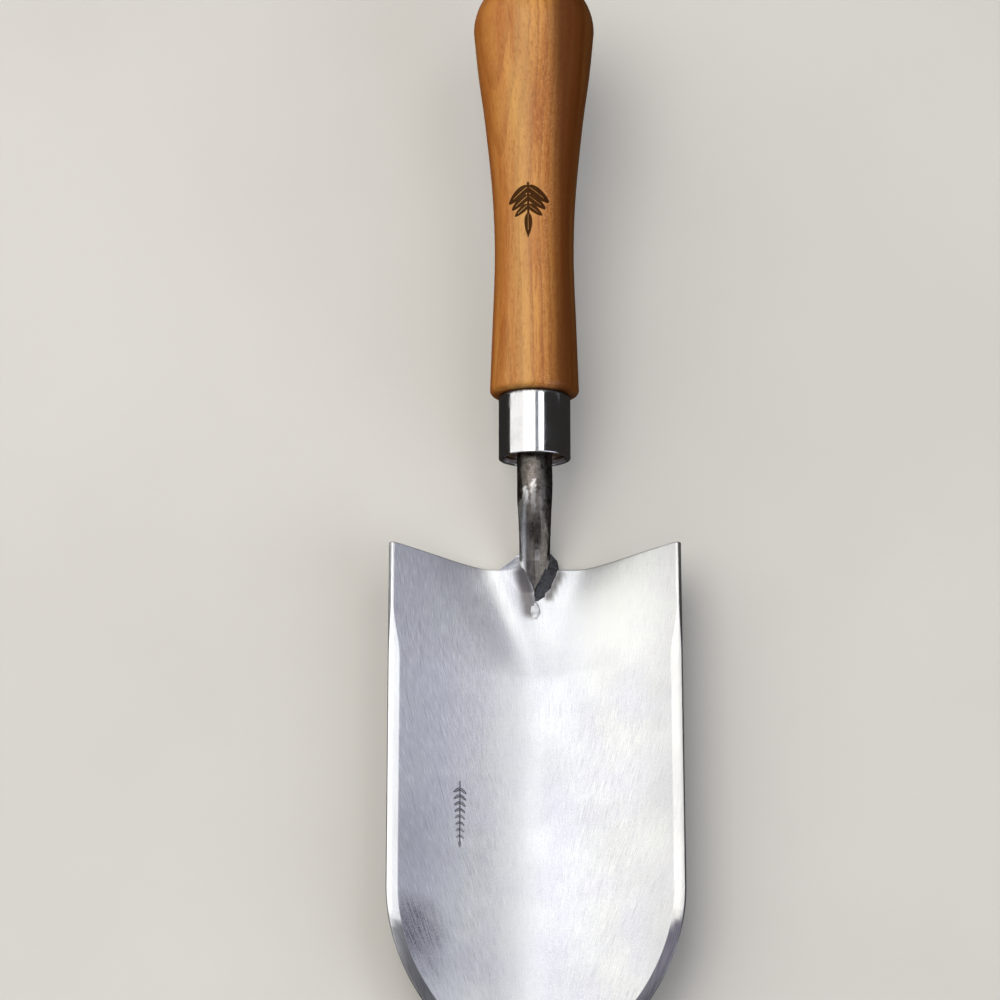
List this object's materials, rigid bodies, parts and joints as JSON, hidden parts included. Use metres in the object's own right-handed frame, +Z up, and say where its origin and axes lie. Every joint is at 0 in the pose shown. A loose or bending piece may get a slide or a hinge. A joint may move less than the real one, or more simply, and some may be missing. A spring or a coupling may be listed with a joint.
{
  "type": "hand trowel",
  "caption": "Garden hand trowel: dished pointed steel blade welded to a cranked forged stem, set in a turned wooden handle behind a polished steel ferrule.",
  "frame": {"origin": "under the middle of the part's box, on the surface that the blade's back rests on", "axes": "the trowel lies on its back: +Z up out of the dish, +Y towards the end of the handle, +X across the blade"},
  "size_m": [0.0886, 0.3442, 0.0589],
  "materials": {
    "blade_steel": "satin ground stainless steel with fine slanting grinding marks",
    "stem_steel": "dark forged steel with brighter ground patches",
    "weld_metal": "dressed weld metal with heat tint",
    "ferrule_steel": "polished stainless steel tube",
    "handle_wood": "oiled reddish fruitwood, grain along the handle"
  },
  "bodies": {
    "root": {"blade": "blade_steel", "stem": "stem_steel", "weld_fillet_left": "weld_metal", "weld_fillet_right": "weld_metal", "weld_toe": "weld_metal", "weld_seam_back": "weld_metal", "ferrule": "ferrule_steel", "handle": "handle_wood"}
  },
  "joints": []
}
